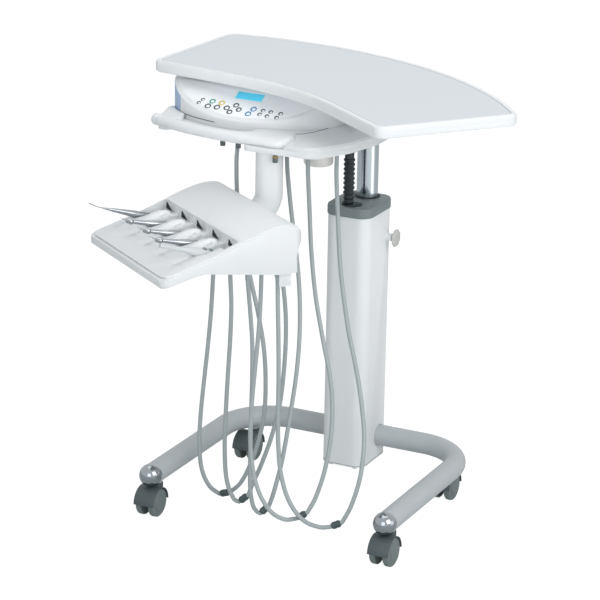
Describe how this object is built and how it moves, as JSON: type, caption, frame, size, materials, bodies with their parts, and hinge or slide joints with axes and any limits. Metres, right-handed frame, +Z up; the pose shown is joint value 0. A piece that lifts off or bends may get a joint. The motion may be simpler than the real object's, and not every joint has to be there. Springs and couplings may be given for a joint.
{
  "type": "portable dental unit",
  "caption": "Wheeled dental delivery unit with a lifting column, swivelling tray table, control console and an angled holder of hosed handpieces.",
  "frame": {"origin": "on the floor, under the middle of the plan of the whole unit without its hoses", "axes": "+X to the right along the base's crossbar, -Y to the user's side where the legs point, +Z up"},
  "size_m": [0.8304, 0.8526, 0.88],
  "materials": {
    "white_paint": "satin powder coat",
    "white_shell": "satin moulded",
    "cap_plastic": "fine texture",
    "bush_plastic": "turned",
    "chrome": "polished",
    "tool_steel": "satin",
    "conduit_plastic": "ribbed",
    "panel_film": "printed film",
    "lcd": "display window",
    "key_film": "domed film",
    "hose_rubber": "smooth silicone",
    "coupler_plastic": "moulded",
    "inlay": "smooth mat",
    "castor_plastic": "moulded",
    "tyre": "smooth",
    "knob_plastic": "moulded"
  },
  "bodies": {
    "base": {"base_tube": "white_paint", "ball_caps": "chrome", "column_shell": "white_paint", "column_cap": "cap_plastic", "bottom_plate": "white_paint", "base_bolts": "chrome", "upper_bush": "bush_plastic", "lower_bush": "bush_plastic", "lock_pad": "bush_plastic"},
    "mast_lock": {"lock_knob": "knob_plastic"},
    "lift": {"mast_tube": "chrome", "conduit": "conduit_plastic", "conduit_collar": "conduit_plastic", "head_hub": "white_paint", "under_pan": "white_shell", "console_cover": "white_shell", "rear_cover": "white_shell", "control_panel": "panel_film", "display": "lcd", "panel_keys": "key_film", "handle": "white_shell", "hose_nipples": "chrome", "filter_cup": "white_shell", "hose_upper_1": "hose_rubber", "hose_upper_2": "hose_rubber", "hose_upper_3": "hose_rubber", "hose_upper_4": "hose_rubber", "hose_upper_5": "hose_rubber"},
    "table": {"table_frame": "white_shell", "table_inlay": "inlay"},
    "holder": {"side_arm": "white_shell", "holder_body": "white_shell", "hose_bracket": "tool_steel", "hose_couplers": "coupler_plastic", "hose_lower_1": "hose_rubber", "hose_lower_2": "hose_rubber", "hose_lower_3": "hose_rubber", "hose_lower_4": "hose_rubber", "hose_lower_5": "hose_rubber"},
    "tool_1": {"scaler": "tool_steel", "scaler_tip": "tool_steel"},
    "tool_2": {"handpiece_1": "tool_steel"},
    "tool_3": {"handpiece_2": "tool_steel"},
    "tool_4": {"handpiece_3": "tool_steel"},
    "tool_5": {"syringe": "white_shell"},
    "air_key": {"air_button": "cap_plastic"},
    "water_key": {"water_button": "cap_plastic"},
    "valve_1": {"flow_knob_1": "knob_plastic"},
    "valve_2": {"flow_knob_2": "knob_plastic"},
    "valve_3": {"flow_knob_3": "knob_plastic"},
    "valve_4": {"flow_knob_4": "knob_plastic"},
    "fork_fl": {"castor_fl": "castor_plastic"},
    "wheelset_fl": {"wheels_fl": "tyre"},
    "fork_fr": {"castor_fr": "castor_plastic"},
    "wheelset_fr": {"wheels_fr": "tyre"},
    "fork_rl": {"castor_rl": "castor_plastic"},
    "wheelset_rl": {"wheels_rl": "tyre"},
    "fork_rr": {"castor_rr": "castor_plastic"},
    "wheelset_rr": {"wheels_rr": "tyre"}
  },
  "joints": [
    {"name": "column_height", "type": "slide", "parent": "base", "child": "lift", "axis": [0, 0, 1], "range_m": [-0.02, 0.14]},
    {"name": "mast_lock_turn", "type": "hinge", "parent": "base", "child": "mast_lock", "pos_m": [0.078, 0.255, 0.528], "axis": [1, 0, 0], "range_deg": [-180, 540]},
    {"name": "table_swivel", "type": "hinge", "parent": "lift", "child": "table", "pos_m": [0.018, 0.255, 0.86], "axis": [0, 0, 1], "range_deg": [-50, 75]},
    {"name": "holder_swivel", "type": "hinge", "parent": "lift", "child": "holder", "pos_m": [-0.078, -0.012, 0.7], "axis": [0, 0, 1], "range_deg": [-20, 20], "deforming": ["hose_upper_1", "hose_upper_2", "hose_upper_3", "hose_upper_4", "hose_upper_5"]},
    {"name": "scaler_lift", "type": "slide", "parent": "holder", "child": "tool_1", "axis": [-0.5553, -0.7785, 0.2924], "range_m": [0, 0.1], "deforming": ["hose_lower_1"]},
    {"name": "handpiece_1_lift", "type": "slide", "parent": "holder", "child": "tool_2", "axis": [-0.5658, -0.7932, 0.225], "range_m": [0, 0.1], "deforming": ["hose_lower_2"]},
    {"name": "handpiece_2_lift", "type": "slide", "parent": "holder", "child": "tool_3", "axis": [-0.5658, -0.7932, 0.225], "range_m": [0, 0.1], "deforming": ["hose_lower_3"]},
    {"name": "handpiece_3_lift", "type": "slide", "parent": "holder", "child": "tool_4", "axis": [-0.5658, -0.7932, 0.225], "range_m": [0, 0.1], "deforming": ["hose_lower_4"]},
    {"name": "syringe_lift", "type": "slide", "parent": "holder", "child": "tool_5", "axis": [-0.5553, -0.7785, 0.2924], "range_m": [0, 0.1], "deforming": ["hose_lower_5"]},
    {"name": "air_press", "type": "slide", "parent": "tool_5", "child": "air_key", "axis": [-0.1698, -0.238, -0.9563], "range_m": [0, 0.002], "stiffness_N_per_m": 800, "springref_m": -0.001},
    {"name": "water_press", "type": "slide", "parent": "tool_5", "child": "water_key", "axis": [-0.1698, -0.238, -0.9563], "range_m": [0, 0.002], "stiffness_N_per_m": 800, "springref_m": -0.001},
    {"name": "valve_1_turn", "type": "hinge", "parent": "lift", "child": "valve_1", "pos_m": [-0.216, 0.047, 0.75], "axis": [0, 0, 1], "range_deg": [0, 270]},
    {"name": "valve_2_turn", "type": "hinge", "parent": "lift", "child": "valve_2", "pos_m": [-0.18, 0.047, 0.75], "axis": [0, 0, 1], "range_deg": [0, 270]},
    {"name": "valve_3_turn", "type": "hinge", "parent": "lift", "child": "valve_3", "pos_m": [-0.138, 0.047, 0.75], "axis": [0, 0, 1], "range_deg": [0, 270]},
    {"name": "valve_4_turn", "type": "hinge", "parent": "lift", "child": "valve_4", "pos_m": [-0.048, -0.046, 0.755], "axis": [0, 0, 1], "range_deg": [0, 270]},
    {"name": "castor_fl_swivel", "type": "hinge", "parent": "base", "child": "fork_fl", "pos_m": [-0.248, -0.171, 0.07], "axis": [0, 0, 1], "continuous": true},
    {"name": "wheels_fl_spin", "type": "hinge", "parent": "fork_fl", "child": "wheelset_fl", "pos_m": [-0.248, -0.198, 0.03], "axis": [1, 0, 0], "continuous": true},
    {"name": "castor_fr_swivel", "type": "hinge", "parent": "base", "child": "fork_fr", "pos_m": [0.284, -0.171, 0.07], "axis": [0, 0, 1], "continuous": true},
    {"name": "wheels_fr_spin", "type": "hinge", "parent": "fork_fr", "child": "wheelset_fr", "pos_m": [0.284, -0.198, 0.03], "axis": [1, 0, 0], "continuous": true},
    {"name": "castor_rl_swivel", "type": "hinge", "parent": "base", "child": "fork_rl", "pos_m": [-0.21578, 0.20478, 0.07], "axis": [0, 0, 1], "continuous": true},
    {"name": "wheels_rl_spin", "type": "hinge", "parent": "fork_rl", "child": "wheelset_rl", "pos_m": [-0.21578, 0.17778, 0.03], "axis": [1, 0, 0], "continuous": true},
    {"name": "castor_rr_swivel", "type": "hinge", "parent": "base", "child": "fork_rr", "pos_m": [0.25178, 0.20478, 0.07], "axis": [0, 0, 1], "continuous": true},
    {"name": "wheels_rr_spin", "type": "hinge", "parent": "fork_rr", "child": "wheelset_rr", "pos_m": [0.25178, 0.17778, 0.03], "axis": [1, 0, 0], "continuous": true}
  ]
}
